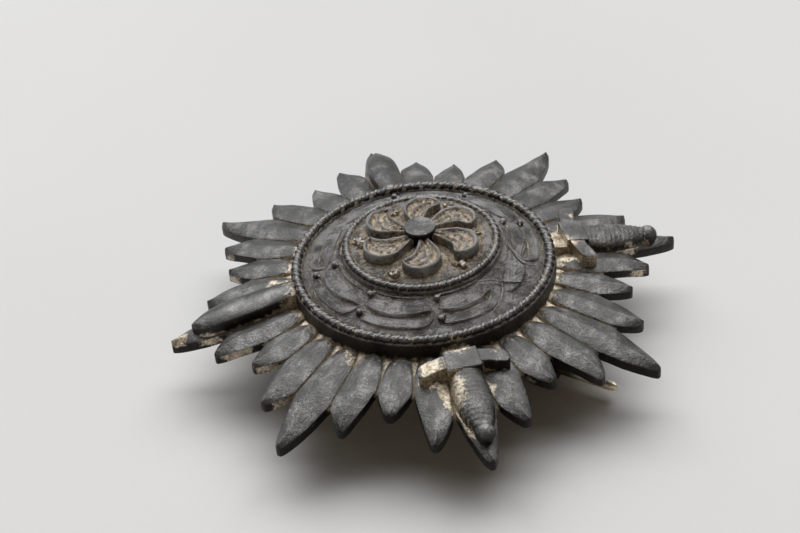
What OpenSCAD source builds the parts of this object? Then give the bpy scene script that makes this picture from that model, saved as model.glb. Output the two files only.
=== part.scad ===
// Award star, worn on a coat by the pin on its back.
// It lies face up: +Z is up, +Y points to the top of the star, and the
// floor that it rests on is z = 0, under the hinge block and the catch.

/* [Star] */
// Width of the star over two opposite long rays
star_w = 50; // [46:1:54]
// Height of the long rays' tips above the floor
tip_z = 5.8; // [5.2:0.1:6.4]
// Reach of the middle rays from the centre
side_reach = 21.7; // [21:0.1:22.4]
// Reach of the short rays from the centre
short_reach = 19.55; // [19:0.1:20.2]
// Thickness of the long rays at their tips
ray_t = 1.45; // [1.3:0.05:1.8]
// Drop from a ray's ridge to its edges
ray_slope = 0.6; // [0.4:0.05:0.8]

/* [Medallion] */
// Radius of the medallion's wall
medal_r = 12.7; // [12.5:0.1:12.9]
// Radius of the outer rope's crest
rope_r = 12.1; // [12:0.05:12.2]
// Radius of the inner rope's crest
inner_rope_r = 7.14; // [7:0.05:7.3]
// Thickness of the outer rope
rope_t = 0.95; // [0.85:0.05:1.1]
// Thickness of the inner rope
inner_rope_t = 0.8; // [0.7:0.05:0.9]
// Strand turns round the outer rope
rope_strands = 56; // [50:2:60]
// Strand turns round the inner rope
inner_rope_strands = 36; // [32:2:38]

/* [Wreath] */
// Leaf groups in each half of the wreath
leaf_groups = 4; // [3:1:5]
// Height of the leaves above the ring that they lie on
leaf_rise = 0.5; // [0.35:0.05:0.6]
// Radius of the berries
berry_r = 0.42; // [0.35:0.01:0.5]

/* [Rosette] */
// Radius of the flat hub
hub_r = 1.5; // [1.3:0.1:1.7]
// Height of the petals above the floor of the rosette
petal_h = 1.05; // [0.9:0.05:1.2]
// Width of a petal's raised rim
rim_w = 0.36; // [0.3:0.02:0.45]

/* [Swords] */
// Height of the swords above the ridges of their rays
sword_rise = 1.1; // [0.9:0.05:1.3]
// Length of the crossguard from end to end
guard_l = 8.7; // [8:0.1:9.2]
// Greatest width of the grip
grip_w = 3.5; // [3:0.1:3.8]
// Radius of the pommel
pommel_r = 0.85; // [0.75:0.05:1]

/* [Fitting] */
// Width of the hinge block
block_w = 9; // [8:0.5:10]
// Distance of the hinge block from the centre
block_y = 15; // [14:0.5:15.5]
// Width of the catch
catch_w = 3.6; // [3.2:0.2:4]
// Distance of the catch from the centre
catch_y = 13.5; // [13:0.5:14]
// Radius of the needle
needle_r = 0.5; // [0.45:0.05:0.55]
// Distance of the needle's tip from the centre
needle_reach = 20.8; // [20:0.1:21]

/* [Hidden] */

zinc = "#4b4a4c";
brass = "#b79a5b";
ray_count = 32;
ray_step = 360 / ray_count;
long_reach = star_w / 2;
root_r = 12.2;
sunk = 0.3;

// The ridges of all the rays lie on one dome. Columns: distance from the
// centre, height above the tips of the long rays.
dome = [[12.4, 2.6], [short_reach, 1.33], [side_reach, 0.72], [long_reach, 0]];
function dome_z(r) = tip_z + lookup(r, dome);

// Rays are numbered clockwise, seen from above, from the lower left hilt.
module on_ray(k) rotate(-135 - k * ray_step) children();

// Half the room that one ray has at a distance from the centre, with the lap
// by which neighbours run into each other
lap = 0.11;
function half_room(r) = r * tan(ray_step / 2) + lap;

// Skins a row of sections, all with the same number of points, into a solid.
// Seen along the row, each section runs clockwise.
module loft(rows) {
  n = len(rows[0]);
  last = len(rows) - 1;
  sides = [
    for (j = [0 : last - 1])
      for (i = [0 : n - 1])
        let (a = j * n + i, b = j * n + (i + 1) % n)
          each [[a, b + n, b], [a, a + n, b + n]]
  ];
  near = [for (i = [1 : n - 2]) [0, i, i + 1]];
  far = [for (i = [1 : n - 2]) [last * n, last * n + i + 1, last * n + i]];
  polyhedron(points = [for (row = rows) each row], faces = concat(sides, near, far));
}

// Skins a closed row of sections into a ring.
module loft_ring(rows) {
  n = len(rows[0]);
  m = len(rows);
  sides = [
    for (j = [0 : m - 1])
      for (i = [0 : n - 1])
        let (a = j * n + i, b = j * n + (i + 1) % n,
             c = ((j + 1) % m) * n + (i + 1) % n, d = ((j + 1) % m) * n + i)
          each [[a, b, c], [a, c, d]]
  ];
  polyhedron(points = [for (row = rows) each row], faces = sides);
}

// One ray along +X, with a roof of two slopes over upright sides.
// Columns: distance from the centre, half width to the left, half width to
// the right, share of the full slope.
module ray(outline, thick) {
  hull()
    loft([
      for (row = outline)
        let (x = row[0], ridge = dome_z(x), edge = ridge - ray_slope * row[3],
             under = ridge - thick * (1 + row[3]) / 2)
          [[x, row[1], under], [x, row[1], edge], [x, 0, ridge], [x, -row[2], edge], [x, -row[2], under]]
    ]);
}

// Half width of a ray's blunt tip, and the share of the roof's slope there
tip_half = 0.2;
tip_share = 0.55;

// Half widths of one side of a ray: full room out to the notch beside its
// neighbour, then a bowed taper to the tip.
function side_width(x, notch, reach) =
  let (left = (reach - x) / (reach - notch))
    x <= notch ? half_room(x) : tip_half + (half_room(notch) - tip_half) * pow(left, 0.65);

function ray_outline(reach, left_notch, right_notch) =
  let (near = min(left_notch, right_notch), far = max(left_notch, right_notch), taper = reach - far,
       notches = far > near ? [near, far] : [near],
       places = concat([root_r], notches, [reach - taper * 0.5, reach - taper * 0.12, reach]))
    [for (x = places)
      [x, side_width(x, left_notch, reach), side_width(x, right_notch, reach), x == reach ? tip_share : 1]];

// Distances of the notches beside the long rays and beside the short ones
long_notch = 19.3;
short_notch = 16.8;
thin_t = ray_t - 0.2;

// Each quarter has a long ray, a middle one, a short one and a middle one.
module rays() {
  color(zinc)
    for (k = [0 : ray_count - 1])
      on_ray(k)
        if (k % 4 == 0)
          ray(ray_outline(long_reach, long_notch, long_notch), ray_t);
        else if (k % 4 == 1)
          ray(ray_outline(side_reach, long_notch, short_notch), thin_t);
        else if (k % 4 == 2)
          ray(ray_outline(short_reach, short_notch, short_notch), thin_t);
        else
          ray(ray_outline(side_reach, short_notch, long_notch), thin_t);
}

// Heights of the medallion, from the wall's foot to the hub
foot_z = tip_z + 2.2;
rope_z = tip_z + 4.04;
inner_rope_z = tip_z + 5.99;
ring_out_z = tip_z + 3.35;
ring_in_z = tip_z + 4.85;
rose_z = tip_z + 5.95;
hub_z = tip_z + 7.5;
ring_out_r = rope_r - rope_t / 2;
ring_in_r = inner_rope_r + inner_rope_t / 2;
ring_mid_r = (ring_out_r + ring_in_r) / 2;
rose_r = inner_rope_r - inner_rope_t / 2;
back_t = 2.6;

// The ring between the ropes is slightly hollow.
function ring_z(r) =
  let (s = (r - ring_in_r) / (ring_out_r - ring_in_r))
    ring_in_z + (ring_out_z - ring_in_z) * s - 0.5 * s * (1 - s);

// A rope sinks a little into the seat that it lies on.
function seat_z(crest_z, thick) = crest_z - thick / 2 - 0.1;

module medallion() {
  wall_d = 1.6;
  groove_w = 0.1;
  dish_w = 0.6;
  outer_seat_z = seat_z(rope_z, rope_t);
  inner_seat_z = seat_z(inner_rope_z, inner_rope_t);
  color(zinc)
    rotate_extrude($fn = 40)
      polygon([
        [0, rose_z - back_t], [rose_r, rose_z - back_t - 0.2], [medal_r, foot_z - wall_d],
        [medal_r, outer_seat_z], [ring_out_r - groove_w, outer_seat_z],
        [ring_out_r - groove_w, ring_z(ring_out_r)], [ring_mid_r, ring_z(ring_mid_r)],
        [ring_in_r + groove_w, ring_z(ring_in_r)], [ring_in_r, inner_seat_z], [rose_r, inner_seat_z],
        [rose_r - dish_w, rose_z], [0, rose_z]
      ]);
}

// A twisted rope laid in a ring: its section swells and thins once a strand,
// and the swelling runs slanting over the crest.
module rope(crest_r, crest_z, thick, strands) {
  cuts = 2 * strands;
  r = thick / 2;
  slant = 1.1;
  color(zinc)
    loft_ring([
      for (j = [0 : cuts - 1])
        let (swell = j % 2 == 0 ? 0.04 : -0.1)
          [for (a = [-25, 50, 130, 205])
            let (turn = (j + slant * (a - 90) / 90) * 360 / cuts, w = r + swell,
                 x = crest_r + w * cos(a), z = crest_z - r + w * sin(a))
              [x * cos(turn), x * sin(turn), z]]
    ]);
}

// One leaf along the ring, from angle a0 to a1. Its middle runs from r0 to r1
// over a bow, and half_w is its half width at the widest.
module leaf(a0, a1, r0, r1, bow, half_w, rise) {
  steps = 4;
  tip_w = 0.12;
  edge_w = 0.06;
  color(zinc)
    loft([
      for (i = [0 : steps])
        let (s = i / steps, a = a0 + (a1 - a0) * s,
             mid = r0 + (r1 - r0) * s + bow * sin(180 * s),
             w = tip_w + half_w * sin(180 * pow(s, 0.85)),
             up = rise * (0.5 + 0.5 * sin(180 * min(1, 0.15 + 0.85 * s))))
          [for (c = [[-w, -sunk], [-w + edge_w, up * 0.6], [0, up], [w - edge_w, up * 0.6], [w, -sunk]])
            let (r = mid + c[0]) [r * cos(a), r * sin(a), ring_z(r) + c[1]]]
    ]);
}

// Columns: radius at the base, radius at the tip, bow, half width, share of
// the leaf's height, and share of the group's length left free at the base.
leaves = [
  [10.85, 10.85, 0.1, 0.42, 0.7, 0.02],
  [8.2, 8.1, -0.1, 0.38, 0.75, 0.06],
  [9.35, 9.5, 0.05, 0.9, 1, 0]
];
tie_gap = 5;
group_step = (180 - tie_gap) / leaf_groups;
tie_angle = -90;

// The two halves leave the tie at the foot and meet at the top.
module wreath_leaves() {
  for (side = [0, 1])
    mirror([side, 0, 0])
      for (g = [0 : leaf_groups - 1])
        for (row = leaves) {
          start = tie_angle + tie_gap + g * group_step;
          leaf(start + group_step * row[5], start + group_step * 0.96, row[0], row[1], row[2], row[3],
               leaf_rise * row[4]);
        }
}

module wreath_berries() {
  color(zinc)
    for (side = [0, 1])
      mirror([side, 0, 0])
        for (g = [1 : leaf_groups - 1])
          for (r = [8.45, 10.45])
            rotate(tie_angle + tie_gap + g * group_step)
              translate([r, 0, ring_z(r) + 0.28])
                sphere(berry_r, $fn = 6);
}

// The ribbon that ties the wreath at its foot: two bands, one over the other.
// Columns: angle from the tie at the inner end, angle at the outer end, rise
bands = [[-3.4, 3.2, 0.34], [3.6, -3.1, 0.5]];

module wreath_ribbon() {
  band_w = 0.42;
  color(zinc)
    for (row = bands)
      loft([
        for (s = [0 : 0.25 : 1])
          let (r = 7.9 + 3.2 * s, t = tie_angle + row[0] + (row[1] - row[0]) * s)
            [for (c = [[1, -sunk], [0.8, row[2]], [-0.8, row[2]], [-1, -sunk]])
              let (turn = t + c[0] * band_w / 2 / r * 180 / PI)
                [r * cos(turn), r * sin(turn), ring_z(r) + c[1]]]
      ]);
}

// A petal is a comma: it leaves the hub, bows to the left and curls its head
// back to the right. Columns: distance along the petal, distance across it.
petal_edge = [
  [1, 0.6], [2.4, 1.2], [3.3, 1.62], [4.3, 1.7], [5.2, 1.28], [5.8, 0.5], [5.9, -0.4],
  [5.5, -1.3], [4.85, -1.82], [4.3, -1.95], [4, -1.3], [3.4, -0.75], [2.3, -0.42], [1, -0.1]
];

// Columns: direction of the petal, its size
petals = [[153, 1], [215, 1], [277, 1], [333, 1], [31, 0.96], [94, 0.98]];

rib_w = 0.32;

module petal() {
  linear_extrude(petal_h - 0.45)
    polygon(petal_edge);
  translate([0, 0, petal_h - 0.5])
    linear_extrude(0.5)
      difference() {
        polygon(petal_edge);
        offset(delta = -rim_w)
          polygon(petal_edge);
      }
  // A rib swirls with the petal inside its rim.
  loft([
    for (s = [0 : 0.25 : 1])
      let (x = 1.1 + 4.6 * s - 1.1 * s * s, y = 0.3 + 0.85 * sin(180 * s) - 1.2 * s * s)
        [for (c = [[1, 0], [0, 0.45], [-1, 0]])
          [x + c[0] * 0.3 * s, y + c[0] * rib_w, petal_h - 0.6 + c[1] * sin(30 + 130 * s)]]
  ]);
}

module rosette_petals() {
  color(zinc)
    for (row = petals)
      rotate(row[0])
        translate([0, 0, rose_z])
          scale([row[1], row[1], 1])
            petal();
}

module rosette_hub() {
  color(zinc)
    rotate_extrude($fn = 20)
      polygon([[0, rose_z], [hub_r - 0.1, rose_z], [hub_r, hub_z - 0.4], [hub_r, hub_z - 0.12],
               [hub_r - 0.15, hub_z], [0, hub_z]]);
}

// Top of a sword at a place on its ray, over the dome
function sword_z(x, y) = dome_z(norm([x, y])) + sword_rise;

// Columns: distance from the centre, half width, drop of the point
blade_rows = [
  [root_r + 0.2, 1.2, 0], [19, 1.5, 0], [21.4, 1.1, 0.05], [22.6, 0.35, 0.3], [22.9, 0.05, 0.5]
];

module sword_blade() {
  color(zinc)
    hull()
      loft([
        for (row = blade_rows)
          let (x = row[0], w = row[1], top = sword_z(x, 0) - row[2])
            [[x, w + 0.15, top - 2], [x, w, top - 0.4], [x, 0, top],
             [x, -w, top - 0.4], [x, -w - 0.15, top - 2]]
      ]);
}

// The guard's arms widen from the block to their ends. Columns: place across
// the ray as a share of half the guard, near edge, far edge
guard_arm = [[0.34, 14.4, 15.8], [1, 13.9, 16.7]];

module guard_half() {
  hull()
    loft([
      for (row = guard_arm)
        let (y = row[0] * guard_l / 2, near = sword_z(row[1], y), far = sword_z(row[2], y))
          [[row[1], y, near - 2], [row[1], y, near - 0.25], [row[2], y, far - 0.25], [row[2], y, far - 2]]
    ]);
}

// A wire-wound grip, round on top over upright sides, with one ridge for
// each turn of the wire
module grip() {
  turns = 7;
  near = 15.9;
  far = 22.35;
  slant = 0.25;
  round_h = 1.1;
  loft([
    for (i = [0 : 2 * turns])
      let (s = i / (2 * turns), x = near + (far - near) * s,
           w = grip_w / 2 * (0.8 + 0.2 * sin(200 * s) - 0.42 * s * s * s) + (i % 2 == 0 ? 0 : -0.1),
           top = sword_z(x, 0))
        concat(
          [[x + slant, w, top - 2]],
          [for (a = [0, 40, 90, 140, 180])
            [x + slant * cos(a), w * cos(a), top - round_h + round_h * (w / grip_w * 2) * sin(a)]],
          [[x - slant, -w, top - 2]])
  ]);
}

module sword_hilt() {
  block_near = 14.05;
  block_far = 16.2;
  block_half = 1.65;
  near = sword_z(block_near, 0);
  far = sword_z(block_far, 0);
  color(zinc) {
    guard_half();
    mirror([0, 1, 0])
      guard_half();
    hull()
      loft([
        for (y = [-block_half, block_half])
          [[block_near, y, far - 2], [block_near, y, near], [block_far, y, far], [block_far, y, far - 2]]
      ]);
    grip();
    translate([22.9, 0, sword_z(22.9, 0) - 0.75])
      sphere(pommel_r, $fn = 10);
  }
}

module swords() {
  for (k = [8, 16])
    on_ray(k)
      sword_blade();
  for (k = [0, 24])
    on_ray(k)
      sword_hilt();
}

// Height of the needle's middle above the floor
needle_z = 1.3;
needle_gap = 0.15;
block_d = 3;
ear_d = 2.2;
eye_r = 1.1;
// Depth below the ridges at which the fitting's feet meet the rays
foot_depth = 0.95;

// The hinge block stands on the floor and holds the needle's eye in a slot.
module hinge_block() {
  color(zinc)
    difference() {
      translate([-block_w / 2, block_y - block_d / 2, 0])
        cube([block_w, block_d, dome_z(block_y + block_d / 2) - foot_depth]);
      translate([-ear_d / 2 - needle_gap, block_y - block_d, -1])
        cube([ear_d + 2 * needle_gap, block_d * 2, 1 + needle_z + eye_r + needle_gap]);
    }
}

// The catch is a standing tab with a hooked end that takes the needle.
module catch() {
  hook_r = needle_r + needle_gap;
  color(zinc)
    difference() {
      translate([-catch_w / 2, -catch_y - 1, 0])
        cube([catch_w, 2, dome_z(catch_y + 1) - foot_depth]);
      translate([0, -catch_y + 2, needle_z])
        rotate([90, 0, 0])
          cylinder(r = hook_r, h = 4, $fn = 24);
      translate([0, -catch_y - 2, needle_z - hook_r])
        cube([catch_w, 4, 2 * hook_r]);
    }
}

module star() {
  rays();
  medallion();
  rope(rope_r, rope_z, rope_t, rope_strands);
  rope(inner_rope_r, inner_rope_z, inner_rope_t, inner_rope_strands);
  wreath_leaves();
  wreath_berries();
  wreath_ribbon();
  rosette_petals();
  rosette_hub();
  swords();
  hinge_block();
  catch();
}

// The needle: an eye in the hinge block, a straight shaft and a ground point
module pin() {
  point_l = 2.4;
  shaft_l = block_y + needle_reach - point_l;
  color(brass) {
    translate([-ear_d / 2, block_y, needle_z])
      rotate([0, 90, 0])
        cylinder(r = eye_r, h = ear_d, $fn = 32);
    translate([0, block_y, needle_z])
      rotate([90, 0, 0]) {
        cylinder(r = needle_r, h = shaft_l, $fn = 24);
        translate([0, 0, shaft_l])
          cylinder(r1 = needle_r, r2 = 0.2, h = point_l, $fn = 24);
      }
  }
}

star();
pin();
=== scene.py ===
# %% [markdown]
# # A struck award star in Blender
# The badge is a small rayed star of struck zinc, once gilded, that lies face up on a pale table.
# This lesson builds it piece by piece over a fixed frame, then gives it its worn metals.
# Lengths are written in millimetres and turned into metres, because Blender works in metres.

# %% The frame and the tools
import random
from math import cos, exp, hypot, pi, radians, sin, sqrt, tan

import bpy
import numpy as np
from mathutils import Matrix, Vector, noise
from mathutils.bvhtree import BVHTree


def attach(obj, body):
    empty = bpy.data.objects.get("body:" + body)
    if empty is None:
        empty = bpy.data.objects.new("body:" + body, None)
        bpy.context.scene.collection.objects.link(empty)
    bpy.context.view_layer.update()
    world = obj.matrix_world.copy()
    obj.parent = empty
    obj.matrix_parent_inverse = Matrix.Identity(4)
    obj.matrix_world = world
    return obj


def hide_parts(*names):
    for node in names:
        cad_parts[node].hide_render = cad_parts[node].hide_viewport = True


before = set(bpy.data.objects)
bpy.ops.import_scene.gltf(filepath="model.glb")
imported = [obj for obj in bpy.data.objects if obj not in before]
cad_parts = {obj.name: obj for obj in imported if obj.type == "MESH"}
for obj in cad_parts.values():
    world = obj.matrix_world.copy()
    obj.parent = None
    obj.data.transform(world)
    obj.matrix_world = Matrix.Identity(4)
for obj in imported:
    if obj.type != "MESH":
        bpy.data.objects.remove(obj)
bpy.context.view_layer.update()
MM = 0.001
noise.seed_set(3)  # without a seed, the unevenness would be another one in each run

# %% [markdown]
# ## Seeing it as the photographer did
# The camera stands low in front of the star's lower left side. It could be placed by eye. Its place
# and turn were worked out from the tips of the rays instead, so that each falls where it should.

# %% The camera
CAMERA_PLACE = (-106.252, -73.749, 107.081)
CAMERA_TURN = (52.59042, 4.62944, -57.77954)
camera = bpy.data.objects.new("camera", bpy.data.cameras.new("camera"))
bpy.context.scene.collection.objects.link(camera)
camera.location = Vector(CAMERA_PLACE) * MM
camera.rotation_euler = [radians(angle) for angle in CAMERA_TURN]
camera.data.lens = 76.299
camera.data.sensor_width = 36
camera.data.clip_start = 0.01
bpy.context.scene.camera = camera
print("camera stands", round(camera.location.length / MM), "mm from the middle of the star")

# %% [markdown]
# ## Taking and opening a piece
# The steps below are the ones a modeller does by hand: take a piece, open it, extrude, bevel, copy
# and join. An operator acts on all that is selected, so each helper deselects everything first.

# %% Free, take and edit
def free():
    """Goes back to object mode with nothing selected."""
    if bpy.context.mode != "OBJECT":
        bpy.ops.object.mode_set(mode="OBJECT")
    bpy.ops.object.select_all(action="DESELECT")


def take(piece):
    """Makes one piece the selected and active one."""
    free()
    piece.select_set(True)
    bpy.context.view_layer.objects.active = piece


def edit(piece):
    """Opens a piece in edit mode with all its faces selected."""
    take(piece)
    bpy.ops.object.mode_set(mode="EDIT")
    bpy.ops.mesh.select_mode(type="FACE")
    bpy.ops.mesh.select_all(action="SELECT")


free()
print("nodes of the frame that the pieces will stand for:", list(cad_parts))

# %% [markdown]
# ## A pale table
# The star lies on a smooth, pale surface without an edge in sight, so one large sheet is enough.
# It isn't part of the badge. It lies a hair below the star's feet.

# %% The floor
bpy.ops.mesh.primitive_plane_add(size=3, location=(0, 0, -0.02 * MM))
floor = bpy.context.object
floor.name = "floor"
print("floor is", round(floor.dimensions.x, 2), "m wide")

# %% [markdown]
# ## Soft studio light
# The shadow falls towards the camera, so the main light is a window high behind the star. It is a
# wide panel, so the shadow is soft. Dark metal shows little but what it mirrors, so a weak side wall
# and a warm one near the camera stand for the room, and the sky stays dim.

# %% The lights
def panel(name, side, height, away, wide, tall, power, tint):
    """A bright panel that faces the star. Its side and height are angles in degrees, its size and
    distance are in metres."""
    lamp = bpy.data.objects.new(name, bpy.data.lights.new(name, "AREA"))
    bpy.context.scene.collection.objects.link(lamp)
    a, b = radians(side), radians(height)
    lamp.location = Vector((cos(a) * cos(b), sin(a) * cos(b), sin(b))) * away
    lamp.rotation_euler = (-lamp.location).to_track_quat("-Z", "Y").to_euler()
    lamp.data.shape = "RECTANGLE"
    lamp.data.size = wide
    lamp.data.size_y = tall
    lamp.data.energy = power
    lamp.data.color = tint


panel("window", 28, 60, 1.0, 1.5, 0.9, 15.4, (0.985, 0.99, 1))
panel("side_wall", 74, 29, 1.1, 1.0, 0.4, 1.8, (0.96, 0.98, 1))
panel("warm_wall", -144, 22, 1.2, 1.2, 0.5, 1.3, (1, 0.74, 0.45))
sky = bpy.data.worlds.new("sky")
bpy.context.scene.world = sky
sky.use_nodes = True
sky.node_tree.nodes["Background"].inputs["Color"].default_value = (1, 0.95, 0.88, 1)
sky.node_tree.nodes["Background"].inputs["Strength"].default_value = 0.06
bpy.context.scene.view_settings.view_transform = "Standard"

# %% [markdown]
# ## The star's measures
# All 32 rays point outwards from a low dome, in three lengths. Heights could be typed at each step.
# They all follow from the height of the tips instead, so one number raises or lowers the star.

# %% Measures
TIP_Z = 5.8
REACH = {"long": 25.0, "side": 21.7, "short": 19.55}
STEP = 360 / 32
DOME = {12.4: 2.6, 19.55: 1.33, 21.7: 0.72, 25.0: 0.0}


def lookup(table, at):
    """Reads a table of places and values, with straight lines between its rows."""
    return float(np.interp(at, list(table), list(table.values())))


def dome(r):
    """Height of a ray's ridge in mm, at a distance from the centre."""
    return TIP_Z + lookup(DOME, r)


def heading(k):
    """Direction of ray k in degrees. Rays are numbered clockwise from the lower left hilt."""
    return -135 - k * STEP


def room(r):
    """Half the width that one of 32 rays has at a distance from the centre."""
    return r * tan(radians(STEP / 2))


print("ridge heights:", [round(dome(r), 2) for r in DOME])

# %% [markdown]
# ## Rays
# A ray is a long leaf with a low two-sided roof over upright sides. It could be cut from a block.
# Here it is drawn out as a smith draws a bar, because its width and ridge change all the way: one
# closed section is extruded along the ray and squeezed at each station.

# %% Drawing out a bar
def drawn_out(section, stations):
    """Extrudes a closed section along +X. The section has (y, z) pairs for a half width and a
    thickness of 1. Each station has x, y, z, half width and thickness, in mm."""
    free()
    bpy.ops.mesh.primitive_circle_add(vertices=len(section), radius=MM, fill_type="NGON")
    bar = bpy.context.object
    x, y, z, wide, thick = stations[0]
    for point, (sy, sz) in zip(bar.data.vertices, section):
        point.co = Vector((x, y + sy * wide, z + sz * thick)) * MM
    edit(bar)
    for old, new in zip(stations, stations[1:]):
        move = Vector([b - a for a, b in zip(old[:3], new[:3])]) * MM
        bpy.ops.mesh.extrude_region_move(TRANSFORM_OT_translate={"value": move})
        bpy.ops.transform.resize(value=(1, new[3] / old[3], new[4] / old[4]),
                                 center_override=Vector(new[:3]) * MM)
    free()
    return bar


def mirrored(half):
    """A whole section from its left half, whose last point lies on the middle."""
    return half + [(-y, z) for y, z in reversed(half[:-1])]


ROOF = mirrored([(-1, -1), (-1, -0.35), (-0.96, -0.315), (-0.6, -0.18), (-0.3, -0.08), (-0.12, -0.027),
                 (0, -0.005)])
print("points in a ray's section:", len(ROOF))

# %% [markdown]
# Struck metal has no sharp edges left after a hundred years. A bevel on all sharp edges rounds them,
# and it is a modifier, because the same one then serves every piece. A simple subdivision cuts the
# faces smaller without moving them, so that they can be uneven and hold the wear that comes later.

# %% Softened edges and finer faces
def finish_with(piece, kind, **settings):
    """Adds a modifier with its settings and applies it."""
    take(piece)
    step = piece.modifiers.new(kind.title(), kind)
    for key, value in settings.items():
        setattr(step, key, value)
    bpy.ops.object.modifier_apply(modifier=step.name)


SHARP = 28


def softened(piece, width, segments=2):
    """Rounds the sharp edges, as wear does. The width is in mm."""
    finish_with(piece, "BEVEL", width=width * MM, segments=segments, limit_method="ANGLE",
                angle_limit=radians(SHARP), use_clamp_overlap=True)


def refined(piece, levels=1):
    finish_with(piece, "SUBSURF", subdivision_type="SIMPLE", levels=levels, render_levels=levels)


print("edges over", SHARP, "degrees are rounded")

# %% [markdown]
# A ray is as wide as its room up to the notch where it parts from its neighbour, then it tapers in
# a bow to a blunt tip. The notches lie further out beside a long ray than beside a short one, so a
# ray of the middle length has one of each. That makes four kinds.

# %% The four kinds of ray
FAR, NEAR = 19.3, 16.8  # how far out the notches lie
SLIT = 0.07
BLUNT = 0.16
ROOT_ROWS = [12.2, 12.9, 13.3, 13.8, 14.5, 15.4]
TAIL_ROWS = [0.14, 0.3, 0.46, 0.6, 0.72, 0.82, 0.9, 0.955, 0.985, 1]
ROOT_WIDTH = {12.4: 0.62, 12.9: 0.68, 13.5: 0.84, 14.3: 0.95, 15.4: 1}
ROOT_DROP = {12.7: 0.5, 13.4: 0.16, 14.2: 0}


def side_width(r, notch, reach):
    """Half width of one side: full room to the notch, then a bowed taper to a blunt tip."""
    if r <= notch:
        return room(r) - SLIT
    return BLUNT + (room(notch) - SLIT - BLUNT) * ((reach - r) / (reach - notch)) ** 0.62


def ray(kind, left, right, thick):
    """A ray along +X, with a notch on each side at a distance from the centre."""
    reach = REACH[kind]
    first = min(left, right)
    stations = []
    for r in ROOT_ROWS + [first] + [first + (reach - first) * s for s in TAIL_ROWS]:
        a, b = side_width(r, left, reach), side_width(r, right, reach)
        drop = lookup(ROOT_DROP, r) + lookup({reach - 0.4: 0, reach - 0.1: 0.03, reach: 0.14}, r)
        stations.append((r, (a - b) / 2, dome(r) - drop, (a + b) / 2 * lookup(ROOT_WIDTH, r), thick - drop))
    bar = drawn_out(ROOF, stations)
    softened(bar, 0.05)
    refined(bar)
    return bar


kinds = [ray("long", FAR, FAR, 1.45), ray("side", FAR, NEAR, 1.25), ray("short", NEAR, NEAR, 1.25),
         ray("side", NEAR, FAR, 1.25)]
print("faces in each kind of ray:", [len(one.data.polygons) for one in kinds])

# %% [markdown]
# What repeats is modelled once and copied. Each copy has its own mesh, and its place goes into that
# mesh, so a finished piece sits at the origin as the frame's own pieces do. Joined pieces have their
# normals turned outwards, and only their gentle edges are shaded smooth.

# %% Copying and joining
def copied(piece, turn=0, place=(0, 0, 0), size=(1, 1, 1)):
    """A copy, turned by degrees about the star's axis and moved to a place in mm."""
    take(piece)
    bpy.ops.object.duplicate()
    copy = bpy.context.object
    copy.scale = size
    copy.rotation_euler = (0, 0, radians(turn))
    copy.location = Vector(place) * MM
    bpy.ops.object.transform_apply()
    return copy


def joined(pieces, name):
    """Makes one piece of several and names it."""
    free()
    for piece in pieces:
        piece.select_set(True)
    bpy.context.view_layer.objects.active = pieces[0]
    bpy.ops.object.join()
    whole = bpy.context.object
    whole.name = whole.data.name = name
    return whole


def closed(piece, smooth=35):
    """Merges doubles, turns the faces outwards and shades the edges under an angle smooth."""
    edit(piece)
    bpy.ops.mesh.remove_doubles(threshold=1e-6)
    bpy.ops.mesh.normals_make_consistent(inside=False)
    take(piece)
    bpy.ops.object.shade_smooth_by_angle(angle=radians(smooth))
    return piece


def discard(*pieces):
    for piece in pieces:
        bpy.data.objects.remove(piece)


print("pieces to copy:", len(kinds))

# %% [markdown]
# On the real star no two rays are alike: some are longer, some bend up or down, and one at the back
# stands high. Each copy could be pushed by hand. A short table of what the picture shows, and a
# small random amount for the others, do the same and can be read.

# %% All 32 rays
random.seed(7)
LONGER = {0: -0.3, 1: 0.55, 3: -0.3, 4: -0.25, 5: 0.0, 9: -0.5, 12: -0.2, 13: -0.2, 17: -0.4, 20: -0.25,
          23: 0.35, 24: 0.3, 26: 0.4, 28: -0.1}
LIFTED = {1: -0.3, 6: 0.15, 17: -0.25, 20: 0.9, 28: -0.15}
BEND_START = 17.0


def reshape(piece, k):
    """Lengthens and bends one ray towards its tip, and adds the small unevenness of the casting."""
    reach = max(v.co.x for v in piece.data.vertices) / MM
    longer = LONGER.get(k, random.uniform(-0.12, 0.12))
    lifted = LIFTED.get(k, random.uniform(-0.1, 0.1))
    swing = random.uniform(-0.1, 0.1)
    for v in piece.data.vertices:
        s = max(0.0, (v.co.x / MM - BEND_START) / (reach - BEND_START))
        bumps = noise.noise_vector(v.co * 700 + Vector((k * 3.1, 0, 0))) * 0.035 * min(1, s + 0.5)
        v.co += Vector((longer * s, swing * s * s, lifted * s * s)) * MM + bumps * MM


rays = []
for k in range(32):
    one = copied(kinds[k % 4])
    reshape(one, k)
    one.rotation_euler = (0, 0, radians(heading(k)))
    take(one)
    bpy.ops.object.transform_apply()
    rays.append(one)
discard(*kinds)
rays = closed(joined(rays, "rays"), 40)
print("rays have", len(rays.data.polygons), "faces")

# %% [markdown]
# ## Webs between the rays
# The rays hold together by webs of metal low in the grooves. Each web starts wide at the root,
# where three-cornered pits show, and ends round in the notch. A web is drawn out as the rays are,
# because it follows the same dome.

# %% The webs
WEB = mirrored([(-1, -1), (-1, -0.12), (0, 0)])
WEB_DROP = 0.82
WEB_THICK = 0.4


def web(notch):
    """A web along +X that ends at a notch. Its rows have a distance and a half width."""
    rows = [(12.2, 0.62), (13.0, 0.6), (14.2, 0.4), (notch - 1.2, 0.42), (notch - 0.45, 0.36),
            (notch - 0.1, 0.2), (notch, 0.06)]
    return drawn_out(WEB, [(r, 0, dome(r) - WEB_DROP, wide, WEB_THICK) for r, wide in rows])


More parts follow.
